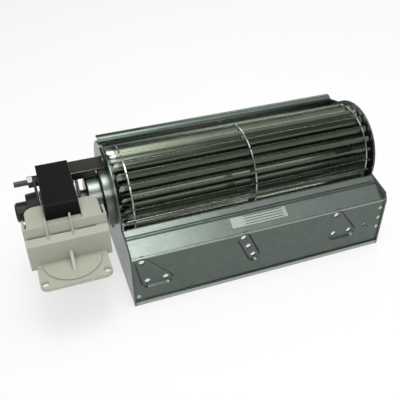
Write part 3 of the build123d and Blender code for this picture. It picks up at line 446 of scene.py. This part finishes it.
class Finishes:
    """Every finish of the fan, named for the real material and how its surface was made."""

    # hot-dip galvanised steel: cool grey-green, faint crystals, soft streaks along the rolling,
    # painted light on the faces towards the fan
    galvanised = Finish("hot_dip_galvanised_sheet", "4f5a53", "636e67", 0.28, 1.0, patch=45.0,
                        grain=1.6, grain_stretch=(0.10, 1.0, 1.0), bump=0.03, bump_depth=0.01,
                        corner_shade=0.15, edge_round=0.25, detail=painted_inner_light)
    # the front wall is the same sheet, folded once along its top, with painted highlights on the fold
    # and the hem
    folded = Finish("hot_dip_galvanised_folded_sheet", "525a55", "676f6a", 0.28, 1.0, patch=45.0,
                    grain=1.6, grain_stretch=(0.10, 1.0, 1.0), bump=0.03, bump_depth=0.01,
                    corner_shade=0.15, edge_round=0.8, detail=painted_fold_highlight)
    # the same zinc on a deep-drawn cup: the crystals are drawn out to an even satin
    drawn = Finish("deep_drawn_zinc_coated_sheet", "5c625d", "7b817b", 0.26, 1.0, patch=14.0,
                   grain=0.9, bump=0.05, corner_shade=0.4, edge_round=0.25)
    # the same sheet passivated yellow, which dulls to olive, with a painted highlight on its edges
    passivated = Finish("yellow_passivated_zinc", "4a4e43", "62675a", 0.34, 1.0, patch=25.0,
                        grain=0.9, bump=0.05, corner_shade=0.35, edge_round=0.2,
                        edge_highlight="c5c8bb", edge_highlight_width=0.35)
    # bright rolled aluminium strip: near mirror along the strip, wavy from the forming rolls, with
    # painted light towards the axis and a painted edge highlight
    blade = Finish("bright_rolled_aluminium", "41483e", "5b6254", 0.24, 1.0, patch=22.0,
                   grain=6.0, grain_stretch=(0.18, 1.0, 1.0), bump=0.45, bump_depth=0.12,
                   edge_round=0.12, edge_highlight="c4cabd", edge_highlight_width=0.3, detail=painted_root_light_strip)
    # punched aluminium: the same strip with a burnished sheared edge
    punched = Finish("punched_aluminium", "90968f", "bcc1bb", 0.25, 1.0, patch=18.0, grain=0.7,
                     bump=0.05, corner_shade=0.4)
    # ground steel shaft: fine rings round it
    ground = Finish("ground_steel", "8d9190", "b4b7b5", 0.20, 1.0, patch=12.0, grain=0.35,
                    grain_stretch=(1.0, 0.1, 0.1), bump=0.08)
    # bright zinc plating on turned and rolled steel
    zinc = Finish("bright_zinc_plate", "6b706b", "8f948e", 0.38, 1.0, patch=5.0, grain=0.6,
                  bump=0.08, corner_shade=0.4, corner_reach=1.0)
    # varnished silicon steel: black, slightly glossy, joints between the sheets, a painted highlight
    # on its edges
    stack = Finish("black_varnished_laminations", "050505", "0b0b0a", 0.52, 0.0, patch=9.0,
                   grain=0.5, bump=0.15, bump_depth=0.03, corner_shade=0.3, edge_round=0.25,
                   shine=0.16, edge_highlight="82827d", edge_highlight_width=0.45, detail=laminations)
    # turned laminations of the rotor with its cast aluminium rings
    rotor = Finish("turned_rotor_laminations", "6a6c6a", "8f918f", 0.32, 1.0, patch=8.0,
                   grain=0.5, bump=0.08, detail=laminations)
    # copper ring under the stack's varnish: dark brown, with little shine left
    copper = Finish("varnished_copper_ring", "2c2019", "4a3427", 0.38, 1.0, patch=5.0, grain=0.8)
    # enamelled copper wire: metal under a clear amber lacquer
    magnet_wire = Finish("enamelled_copper_wire", "6e3417", "a55a2c", 0.28, 1.0, patch=6.0,
                         grain=1.0, coat=0.6)
    # pressed and sintered bronze, oily and dull
    bronze = Finish("sintered_bronze", "6b5230", "8e7145", 0.45, 1.0, patch=4.0, grain=0.3,
                    bump=0.25, bump_depth=0.03)
    # tinned brass: warm grey
    tin = Finish("tinned_brass", "9c998c", "c2bfb2", 0.30, 1.0, patch=5.0, grain=0.6)
    # die-cast zinc, painted black
    black_cast = Finish("black_painted_die_casting", "0e0e0e", "1b1b1a", 0.45, 0.0, patch=7.0,
                        grain=0.6, bump=0.35, bump_depth=0.05, corner_shade=0.3, edge_round=0.3,
                        shine=0.3)
    # die-cast zinc as it leaves the mould: soft grey skin with flow marks
    raw_cast = Finish("raw_die_casting", "4d524e", "6a706b", 0.42, 1.0, patch=6.0, grain=1.4,
                      bump=0.25, bump_depth=0.04, corner_shade=0.4, edge_round=0.3)
    # glass-filled polyamide of the coil former
    former = Finish("glass_filled_polyamide", "9a9c8a", "b3b5a2", 0.42, 0.0, patch=8.0, grain=0.4,
                    bump=0.15, corner_shade=0.4, corner_reach=2.0, edge_round=0.15)
    # moulded cream cover: even colour, fine spark-eroded grain, slight yellowing
    cover = Finish("moulded_cream_polyamide", "a2a595", "b2b5a5", 0.46, 0.0, patch=16.0,
                   grain=0.35, bump=0.22, bump_depth=0.03, corner_shade=0.3, corner_reach=3.5,
                   edge_round=0.35)
    # moulded black cap
    black_plastic = Finish("moulded_black_polyamide", "0f100f", "1c1e1d", 0.38, 0.0, patch=6.0,
                           grain=0.4, bump=0.12, edge_round=0.25, shine=0.3)
    # moulded rubber: dull, with a bloom that greys it
    rubber = Finish("moulded_epdm_rubber", "151615", "2a2c2a", 0.72, 0.0, patch=5.0, grain=0.5,
                    bump=0.3, bump_depth=0.05)
    # metallised polyester film of the blank label
    film = Finish("metallised_polyester_film", "808983", "9aa39d", 0.38, 0.55, patch=14.0,
                  grain=0.9, bump=0.04, detail=ruled_fields)
    # zinc-plated rivet head, burnished by the setting tool: the brightest spots on the sheet
    burnished = Finish("burnished_zinc_rivet", "8f9891", "c9cfca", 0.30, 1.0, patch=2.0,
                       grain=0.5, bump=0.05, corner_shade=0.4, corner_reach=1.0)


# ---- mesh helpers ---------------------------------------------------------------------------


def mesh_piece(name: str, mesh: bmesh.types.BMesh, smooth_angle: float = 35.0) -> bpy.types.Object:
    """Turn a bmesh into an object with smooth faces and sharp edges.

    Args:
        name: Name of the piece.
        mesh: The mesh, in metres in the row frame. It is freed.
        smooth_angle: Edges that turn more than this many degrees stay sharp.

    Returns:
        The new object, linked to the scene.
    """
    bmesh.ops.recalc_face_normals(mesh, faces=mesh.faces)
    limit = math.radians(smooth_angle)
    for face in mesh.faces:
        face.smooth = True
    for edge in mesh.edges:
        edge.smooth = len(edge.link_faces) == 2 and edge.calc_face_angle(0.0) < limit
    data = bpy.data.meshes.new(name)
    mesh.to_mesh(data)
    mesh.free()
    made = bpy.data.objects.new(name, data)
    bpy.context.scene.collection.objects.link(made)
    return made


def place_piece(piece: bpy.types.Object, finish: Finish, body: Body,
                replaces: Iterable[str] = ()) -> bpy.types.Object:
    """Give a piece its finish, the body that it rides on and the nodes that it stands for.

    Args:
        piece: The new piece.
        finish: Its finish.
        body: The CAD body that it moves with.
        replaces: CAD nodes that aren't shown any more.

    Returns:
        The same piece.
    """
    piece.data.materials.clear()
    piece.data.materials.append(finish.material())
    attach(piece, body.value)
    nodes = list(replaces)
    if nodes:
        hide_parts(*nodes)
    log.info("piece %s: %s", piece.name, finish.name)
    return piece


def dress_nodes(finish: Finish, *nodes: str) -> None:
    """Give CAD nodes their finish.

    Args:
        finish: The finish.
        nodes: Names of the nodes.
    """
    for node in nodes:
        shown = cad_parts[node]
        shown.data.materials.clear()
        shown.data.materials.append(finish.material())
        log.info("node %s: %s", node, finish.name)


def bridge_rings(mesh: bmesh.types.BMesh, rings: Sequence[Sequence[Vector]], closed: bool = False,
                 capped: bool = False) -> None:
    """Join rings of points, one after another, with four-sided faces.

    Args:
        mesh: Mesh that the faces go into.
        rings: Rings with the same number of points each.
        closed: The last ring is joined to the first.
        capped: The first and the last ring are filled.
    """
    rows = [[mesh.verts.new(point) for point in ring] for ring in rings]
    count = len(rows[0])
    pairs = list(zip(rows, rows[1:])) + ([(rows[-1], rows[0])] if closed else [])
    for low, high in pairs:
        for i in range(count):
            j = (i + 1) % count
            mesh.faces.new((low[i], low[j], high[j], high[i]))
    if capped:
        mesh.faces.new(list(reversed(rows[0])))
        mesh.faces.new(rows[-1])


def turned(mesh: bmesh.types.BMesh, profile: Sequence[tuple[float, float]], start: Vector,
           along: Along, steps: int = 40, capped: bool = True) -> None:
    """Turn a profile round a line.

    Args:
        mesh: Mesh that the faces go into.
        profile: Pairs of millimetres along the line and radius.
        start: Start of the line in the row frame, in millimetres.
        along: Direction of the line.
        steps: Points round the line.
        capped: Both ends are filled.
    """
    axis = Vector(along.value)
    side = axis.orthogonal().normalized()
    other = axis.cross(side)
    rings = []
    for reach, radius in profile:
        rings.append([(start + axis * reach + (side * math.cos(a) + other * math.sin(a)) * radius) * MM
                      for a in (2 * math.pi * i / steps for i in range(steps))])
    bridge_rings(mesh, rings, capped=capped)


# ---- sub-assemblies ---------------------------------------------------------------------------


class SubAssembly:
    """Pieces that are built and dressed together. Lengths are in millimetres."""

    def dress(self) -> None:
        """Give the CAD nodes their finishes, where there are any."""

    def build(self) -> None:
        """Build pieces that stand for CAD nodes or add to them, where there are any."""


@dataclass(frozen=True)
class RivetHead:
    """Domed head of a set rivet."""

    radius: float = 1.5
    height: float = 0.5
    rim: float = 0.12           # upright edge below the dome
    shoulder: float = 0.24      # share of the height at which the dome starts
    angles: tuple[float, ...] = (0.25, 0.55, 0.85, 1.15, 1.4)

    def add(self, mesh: bmesh.types.BMesh, place: Vector, along: Along) -> None:
        """Add one head.

        Args:
            mesh: Mesh that the faces go into.
            place: Middle of its foot in the row frame, in millimetres.
            along: Direction in which it stands out.
        """
        dome = [(0.0, self.radius), (self.rim, self.radius)]
        for angle in self.angles:
            swell = self.shoulder + (1 - self.shoulder) * math.sin(angle)
            dome.append((self.height * swell, self.radius * math.cos(angle)))
        turned(mesh, dome, place, along)


@dataclass
class ScrollHousing(SubAssembly):
    """Curled rear wall, front wall and both end plates."""

    rivet: RivetHead = RivetHead()
    rivet_inset: float = 3.2
    rivet_drops: tuple[float, float, float] = (20.5, 29.0, 37.0)
    left_rivet_lift: float = 7.1

    def dress(self) -> None:
        """Give the sheets their finish."""
        dress_nodes(Finishes.galvanised, "rear_wall", "motor_end_plate", "bearing_end_plate")
        dress_nodes(Finishes.folded, "front_wall")

    def build(self) -> None:
        """Build the domed rivets of the front wall."""
        mesh = bmesh.new()
        x = HALF_LENGTH - self.rivet_inset
        places = [(x, drop) for drop in self.rivet_drops]
        places.append((-x, AXIS_HEIGHT - self.left_rivet_lift))
        for place, drop in places:
            self.rivet.add(mesh, Vector((place, -FRONT_REACH, AXIS_HEIGHT - drop)), Along.FRONT)
        piece = mesh_piece("front_wall_rivet_heads", mesh, smooth_angle=60.0)
        place_piece(piece, Finishes.burnished, Body.HOUSING, ["wall_rivets"])


@dataclass
class Impeller(SubAssembly):
    """Strip blades in slotted discs, with the rubber hub and the stub."""

    def dress(self) -> None:
        """Give the turning parts their finishes."""
        dress_nodes(Finishes.blade, "impeller_blades")
        dress_nodes(Finishes.punched, "drive_disc", "middle_ring", "end_disc")
        dress_nodes(Finishes.rubber, "drive_hub")
        dress_nodes(Finishes.zinc, "stub_boss")
        dress_nodes(Finishes.ground, "motor_shaft", "stub_shaft")
        dress_nodes(Finishes.rotor, "rotor_core")


@dataclass
class Bearings(SubAssembly):
    """Bushes, grommet, die-cast bridges and the cap."""

    def dress(self) -> None:
        """Give the bearing parts their finishes."""
        dress_nodes(Finishes.bronze, "end_bush", "outer_bush", "inner_bush")
        dress_nodes(Finishes.rubber, "bearing_grommet")
        dress_nodes(Finishes.black_cast, "outer_bridge")
        dress_nodes(Finishes.raw_cast, "inner_bridge")
        dress_nodes(Finishes.black_plastic, "bearing_cap")


@dataclass
class MotorBracket(SubAssembly):
    """Cup on the end plate and the two arms that carry the stack."""

    rivet: RivetHead = RivetHead()
    arm_sheet: float = 1.0
    arm_middle: float = 6.4
    rivet_level: float = 24.8       # above and below the axis
    rivet_spacing: float = 7.0

    def dress(self) -> None:
        """Give the bracket its finishes."""
        dress_nodes(Finishes.drawn, "motor_cup")
        dress_nodes(Finishes.passivated, "motor_arms")

    def build(self) -> None:
        """Build the domed rivets that hold the feet of the arms."""
        mesh = bmesh.new()
        for side in (-1, 1):
            for step in (-0.5, 0.5):
                place = Vector((-HALF_LENGTH - self.arm_sheet,
                                self.arm_middle + step * self.rivet_spacing,
                                AXIS_HEIGHT + side * self.rivet_level))
                self.rivet.add(mesh, place, Along.LEFT)
        piece = mesh_piece("arm_rivet_heads", mesh, smooth_angle=60.0)
        place_piece(piece, Finishes.burnished, Body.HOUSING, ["arm_rivets"])


@dataclass
class ClampRods(SubAssembly):
    """Threaded rods that clamp the stack between its bridges, with their nuts."""

    back: float = 6.0               # rod axes behind the fan axis
    height: float = 17.0            # and above and below it
    radius: float = 1.95
    left: float = -146.25           # ends of the rods
    right: float = -103.35
    pitch: float = 0.7
    thread_depth: float = 0.61      # as a share of the pitch
    groove_half: float = 0.42       # half of the groove's width, as a share of the pitch
    outer_thread: float = 15.0      # threaded lengths
    inner_thread: float = 7.0
    run_out: float = 0.5            # from full thread to plain shank
    lead_in: float = 0.5            # length over which the outer end's thread deepens
    lead_depth: float = 0.9         # share of the depth at that end
    slices: int = 6                 # rings in one pitch
    steps: int = 28                 # points round the rod
    nut_width: float = 7.0
    nut_thickness: float = 3.2
    outer_nut: float = -137.95      # left faces of the nuts
    inner_nut: float = -108.05
    nut_clearance: float = 0.05
    nut_mouth: float = 0.3          # countersink of the nut's bore: width
    nut_recess: float = 0.35        # and depth
    nut_face: float = 0.97          # round end face, as a share of the width
    nut_chamfer: float = 30.0       # degrees
    nut_steps: int = 48

    def thread_ring(self, reach: float, depth: float, place: Vector) -> list[Vector]:
        """One ring of a helical thread.

        Args:
            reach: Place along the rod in millimetres.
            depth: Share of the thread's depth that is cut here.
            place: Rod axis in the row frame in millimetres, with x 0.

        Returns:
            Points round the rod in metres.
        """
        ring = []
        for i in range(self.steps):
            turn = i / self.steps
            phase = (reach / self.pitch + turn) % 1.0
            groove = max(0.0, 1.0 - abs(phase - 0.5) / self.groove_half)
            radius = self.radius - depth * groove * self.thread_depth * self.pitch
            angle = 2 * math.pi * turn
            ring.append(Vector((reach, place.y + radius * math.cos(angle),
                                place.z + radius * math.sin(angle))) * MM)
        return ring

    def build(self) -> None:
        """Build the rods with their threads, and the chamfered nuts."""
        mesh = bmesh.new()
        step = self.pitch / self.slices
        outer_end = self.left + self.outer_thread
        inner_start = self.right - self.inner_thread
        for side in (-1, 1):
            place = Vector((0.0, self.back, AXIS_HEIGHT + side * self.height))
            rings = []
            reach = self.left
            while reach < outer_end:
                led = min(1.0, (reach - self.left) / self.lead_in)
                depth = self.lead_depth + (1 - self.lead_depth) * led
                rings.append(self.thread_ring(reach, depth, place))
                reach += step
            rings.append(self.thread_ring(outer_end + self.run_out, 0.0, place))
            rings.append(self.thread_ring(inner_start - self.run_out, 0.0, place))
            reach = inner_start
            while reach < self.right:
                rings.append(self.thread_ring(reach, 1.0, place))
                reach += step
            bridge_rings(mesh, rings, capped=True)
        rods = mesh_piece("threaded_clamp_rods", mesh, smooth_angle=75.0)
        place_piece(rods, Finishes.zinc, Body.HOUSING, ["clamp_rods"])

        mesh = bmesh.new()
        for start in (self.outer_nut, self.inner_nut):
            for side in (-1, 1):
                place = Vector((start, self.back, AXIS_HEIGHT + side * self.height))
                self.nut(mesh, place)
        nuts = mesh_piece("hexagon_nuts", mesh, smooth_angle=30.0)
        place_piece(nuts, Finishes.zinc, Body.HOUSING, ["clamp_nuts"])

    def nut(self, mesh: bmesh.types.BMesh, place: Vector) -> None:
        """Add one hexagon nut with the round chamfers of a cold-formed nut.

        Args:
            mesh: Mesh that the faces go into.
            place: Middle of the nut's left face in the row frame, in millimetres.
        """
        bore = self.radius + self.nut_clearance
        mouth = bore + self.nut_mouth
        flat = self.nut_width / 2
        face = flat * self.nut_face
        thick = self.nut_thickness
        slope = math.tan(math.radians(self.nut_chamfer))
        columns = []
        for i in range(self.nut_steps):
            angle = 2 * math.pi * i / self.nut_steps
            off = (angle + math.pi / 6) % (math.pi / 3) - math.pi / 6
            hexagon = flat / math.cos(off)
            drop = (hexagon - face) * slope
            profile = ((bore, self.nut_recess), (mouth, 0.0), (face, 0.0), (hexagon, drop),
                       (hexagon, thick - drop), (face, thick), (mouth, thick),
                       (bore, thick - self.nut_recess))
            columns.append([(place + Vector((reach, radius * math.cos(angle),
                                             radius * math.sin(angle)))) * MM
                            for radius, reach in profile])
        rings = list(zip(*columns))
        bridge_rings(mesh, rings, closed=True)


@dataclass
class MotorStack(SubAssembly):
    """Stator laminations, shading rings, coil and its cover."""

    middle: float = -121.75         # middle of the stack along the fan axis
    half_width: float = 19.6        # outside of the coil
    front: float = -34.5
    back: float = -16.0
    corner: float = 4.0
    corner_steps: int = 6
    wire: float = 0.6               # thickness, drawn coarser than the real wire so that it shows
    wire_sides: int = 6

    def dress(self) -> None:
        """Give the motor's parts their finishes."""
        dress_nodes(Finishes.stack, "stator_stack")
        dress_nodes(Finishes.copper, "shading_rings")
        dress_nodes(Finishes.former, "coil_former")
        dress_nodes(Finishes.cover, "coil_cover")
        dress_nodes(Finishes.tin, "terminal_tags")

    def wound_path(self, inset: float) -> list[tuple[float, float, float, float]]:
        """Plan of one turn of wire.

        Args:
            inset: How far the turn's centre lies inside the coil's outside.

        Returns:
            Points x and y with their outward direction, in millimetres.
        """
        half = self.half_width - self.corner
        front = self.front + self.corner
        back = self.back - self.corner
        middles = ((self.middle + half, back, 0.0), (self.middle - half, back, 90.0),
                   (self.middle - half, front, 180.0), (self.middle + half, front, 270.0))
        points = []
        for x, y, start in middles:
            for i in range(self.corner_steps + 1):
                angle = math.radians(start + 90.0 / self.corner_steps * i)
                out_x, out_y = math.cos(angle), math.sin(angle)
                reach = self.corner - inset
                points.append((x + out_x * reach, y + out_y * reach, out_x, out_y))
        return points

    def build(self) -> None:
        """Build the winding with its visible outer turns."""
        low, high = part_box("coil_winding")
        bottom, top = low.z / MM, high.z / MM
        turns = int((top - bottom) / self.wire)
        pitch = (top - bottom) / turns
        mesh = bmesh.new()
        path = self.wound_path(self.wire / 2)
        for turn in range(turns):
            level = bottom + pitch * (turn + 0.5)
            rings = []
            for x, y, out_x, out_y in path:
                ring = []
                for i in range(self.wire_sides):
                    angle = 2 * math.pi * i / self.wire_sides
                    swing = self.wire / 2 * math.cos(angle)
                    ring.append(Vector((x + out_x * swing, y + out_y * swing,
                                        level + pitch / 2 * math.sin(angle))) * MM)
                rings.append(ring)
            bridge_rings(mesh, rings, closed=True)
        wound = mesh_piece("wound_copper_coil", mesh, smooth_angle=80.0)
        place_piece(wound, Finishes.magnet_wire, Body.HOUSING)
        dress_nodes(Finishes.magnet_wire, "coil_winding")


@dataclass
class Label(SubAssembly):
    """Blank silver label on the tongue."""

    def dress(self) -> None:
        """Give the label its film."""
        dress_nodes(Finishes.film, "rating_label")


@dataclass(frozen=True)
class Lamp:
    """One soft area lamp, in metres and watts, that faces a target."""

    name: str
    place: tuple[float, float, float]
    target: tuple[float, float, float]
    size: tuple[float, float]
    power: float

    def hang(self) -> None:
        """Add the lamp to the scene."""
        data = bpy.data.lights.new(self.name, "AREA")
        data.shape = "RECTANGLE"
        data.size, data.size_y = self.size
        data.energy = self.power
        made = bpy.data.objects.new(self.name, data)
        bpy.context.scene.collection.objects.link(made)
        made.location = self.place
        made.rotation_mode = "QUATERNION"
        made.rotation_quaternion = (Vector(self.target) - Vector(self.place)).to_track_quat("-Z", "Y")


@dataclass
class Studio:
    """Floor, soft light and the camera."""

    camera_place: tuple[float, float, float] = (-128.95, -291.6, 269.8)    # millimetres
    right: tuple[float, float, float] = (0.94257, -0.33396, -0.00556)
    up: tuple[float, float, float] = (0.20806, 0.57404, 0.79195)
    forward: tuple[float, float, float] = (0.26129, 0.74763, -0.61056)
    lens: float = 49.74             # millimetres, on a sensor of this width
    sensor: float = 36.0
    nearest: float = 0.01           # metres
    floor_half: float = 20.0        # metres
    floor_drop: float = 0.0002      # floor below the outlet rim, metres
    mottle: float = 220.0           # slow clouds in the paper, millimetres
    paper_glow: float = 0.65        # share of plain white in what the eye and the metal see of it
    fill: float = 0.30              # even light from all round
    ceiling_light: float = 0.22     # strength that the metal mirrors above this height
    ceiling_height: float = 0.45    # as the z of a direction
    lamps: tuple[Lamp, ...] = (
        Lamp("ceiling_panel", (0.20, -0.10, 1.10), (0.20, -0.10, 0.0), (1.40, 1.00), 5.5),
        Lamp("softbox_overhead", (-0.02, -0.06, 1.05), (-0.03, 0.0, 0.05), (0.34, 0.45), 3.0),
        Lamp("softbox_front", (-0.25, -0.95, 0.95), (0.0, 0.0, 0.05), (0.80, 0.45), 5.5),
        Lamp("softbox_back", (0.5, 0.9, 0.8), (0.0, 0.0, 0.05), (0.5, 0.3), 2.0))

    def camera(self) -> None:
        """Set the camera at the viewing angle and distance."""
        data = bpy.data.cameras.new("camera")
        data.sensor_width = self.sensor
        data.lens = self.lens
        data.clip_start = self.nearest
        made = bpy.data.objects.new("camera", data)
        bpy.context.scene.collection.objects.link(made)
        axes = Matrix((self.right, self.up, [-v for v in self.forward])).transposed()
        made.matrix_world = Matrix.Translation(Vector(self.camera_place) * MM) @ axes.to_4x4()
        bpy.context.scene.camera = made

    def world(self) -> None:
        """Light the room evenly: white to the eye, darker overhead in what the metal mirrors."""
        room = bpy.data.worlds.new("studio")
        room.use_nodes = True
        tree = room.node_tree
        tree.nodes.clear()
        path = add_node(tree, "ShaderNodeLightPath")
        seen = add_node(tree, "ShaderNodeMath", {"operation": "MAXIMUM"}, {
            0: path.outputs["Is Camera Ray"], 1: path.outputs["Is Transmission Ray"]})
        direction = add_node(tree, "ShaderNodeTexCoord").outputs["Generated"]
        height = add_node(tree, "ShaderNodeSeparateXYZ", inputs={0: direction})
        ceiling = add_node(tree, "ShaderNodeMapRange", inputs={
            "Value": height.outputs["Z"], "From Min": 0.0, "From Max": self.ceiling_height,
            "To Min": 1.0, "To Max": self.ceiling_light})
        mirrored = add_node(tree, "ShaderNodeMath", {"operation": "MULTIPLY"}, {
            0: path.outputs["Is Glossy Ray"], 1: ceiling.outputs[0]})
        fill = add_node(tree, "ShaderNodeMath", {"operation": "MAXIMUM"}, {
            0: seen.outputs[0], 1: self.fill})
        strength = add_node(tree, "ShaderNodeMix", {"data_type": "FLOAT"}, {
            FACTOR: path.outputs["Is Glossy Ray"], FIRST_FLOAT: fill.outputs[0],
            SECOND_FLOAT: mirrored.outputs[0]})
        light = add_node(tree, "ShaderNodeBackground", inputs={
            "Color": (1.0, 1.0, 1.0, 1.0), "Strength": strength.outputs[0]})
        add_node(tree, "ShaderNodeOutputWorld", inputs={"Surface": light.outputs[0]})
        bpy.context.scene.world = room

    def floor(self) -> None:
        """Lay the pale floor."""
        mesh = bmesh.new()
        half = self.floor_half
        corners = [mesh.verts.new((x * half, y * half, -self.floor_drop))
                   for x, y in ((-1, -1), (1, -1), (1, 1), (-1, 1))]
        mesh.faces.new(corners)
        ground = mesh_piece("floor", mesh)
        recipe = Recipe("matt_white_studio_paper")
        mottle = recipe.add("ShaderNodeTexNoise", inputs={
            "Vector": recipe.place, "Scale": per_mm(self.mottle)})
        tone = recipe.add("ShaderNodeMix", BLEND, {
            FACTOR: mottle.outputs[0], FIRST: srgb("f1f1ef"), SECOND: srgb("f5f5f4")})
        recipe.link(tone.outputs[MIXED], "Base Color")
        recipe.constants(Roughness=0.9)
        # the paper stays white to the eye and in the metal, and about a third of the shadow
        # stays on it
        path = recipe.add("ShaderNodeLightPath")
        mirrored = recipe.add("ShaderNodeMath", {"operation": "MAXIMUM"}, {
            0: path.outputs["Is Glossy Ray"], 1: path.outputs["Is Transmission Ray"]})
        seen = recipe.add("ShaderNodeMath", {"operation": "MAXIMUM"}, {
            0: path.outputs["Is Camera Ray"], 1: mirrored.outputs[0]})
        share = recipe.add("ShaderNodeMath", {"operation": "MULTIPLY"}, {
            0: seen.outputs[0], 1: self.paper_glow})
        white = recipe.add("ShaderNodeEmission", inputs={"Strength": 1.0})
        paper = recipe.add("ShaderNodeMixShader", inputs={
            0: share.outputs[0], 1: recipe.shader.outputs[0], 2: white.outputs[0]})
        recipe.tree.links.new(paper.outputs[0], recipe.surface)
        ground.data.materials.append(recipe.material)

    def build(self) -> None:
        """Set up the whole studio."""
        self.camera()
        self.world()
        self.floor()
        for lamp in self.lamps:
            lamp.hang()
        bpy.context.scene.view_settings.view_transform = "Standard"


def main() -> None:
    """Build the fan's pieces in order, then the studio."""
    for part in (ScrollHousing(), Impeller(), Bearings(), MotorBracket(), ClampRods(),
                 MotorStack(), Label()):
        part.dress()
        part.build()
        log.info("done: %s", type(part).__name__)
    Studio().build()


if __name__ == "__main__":
    main()
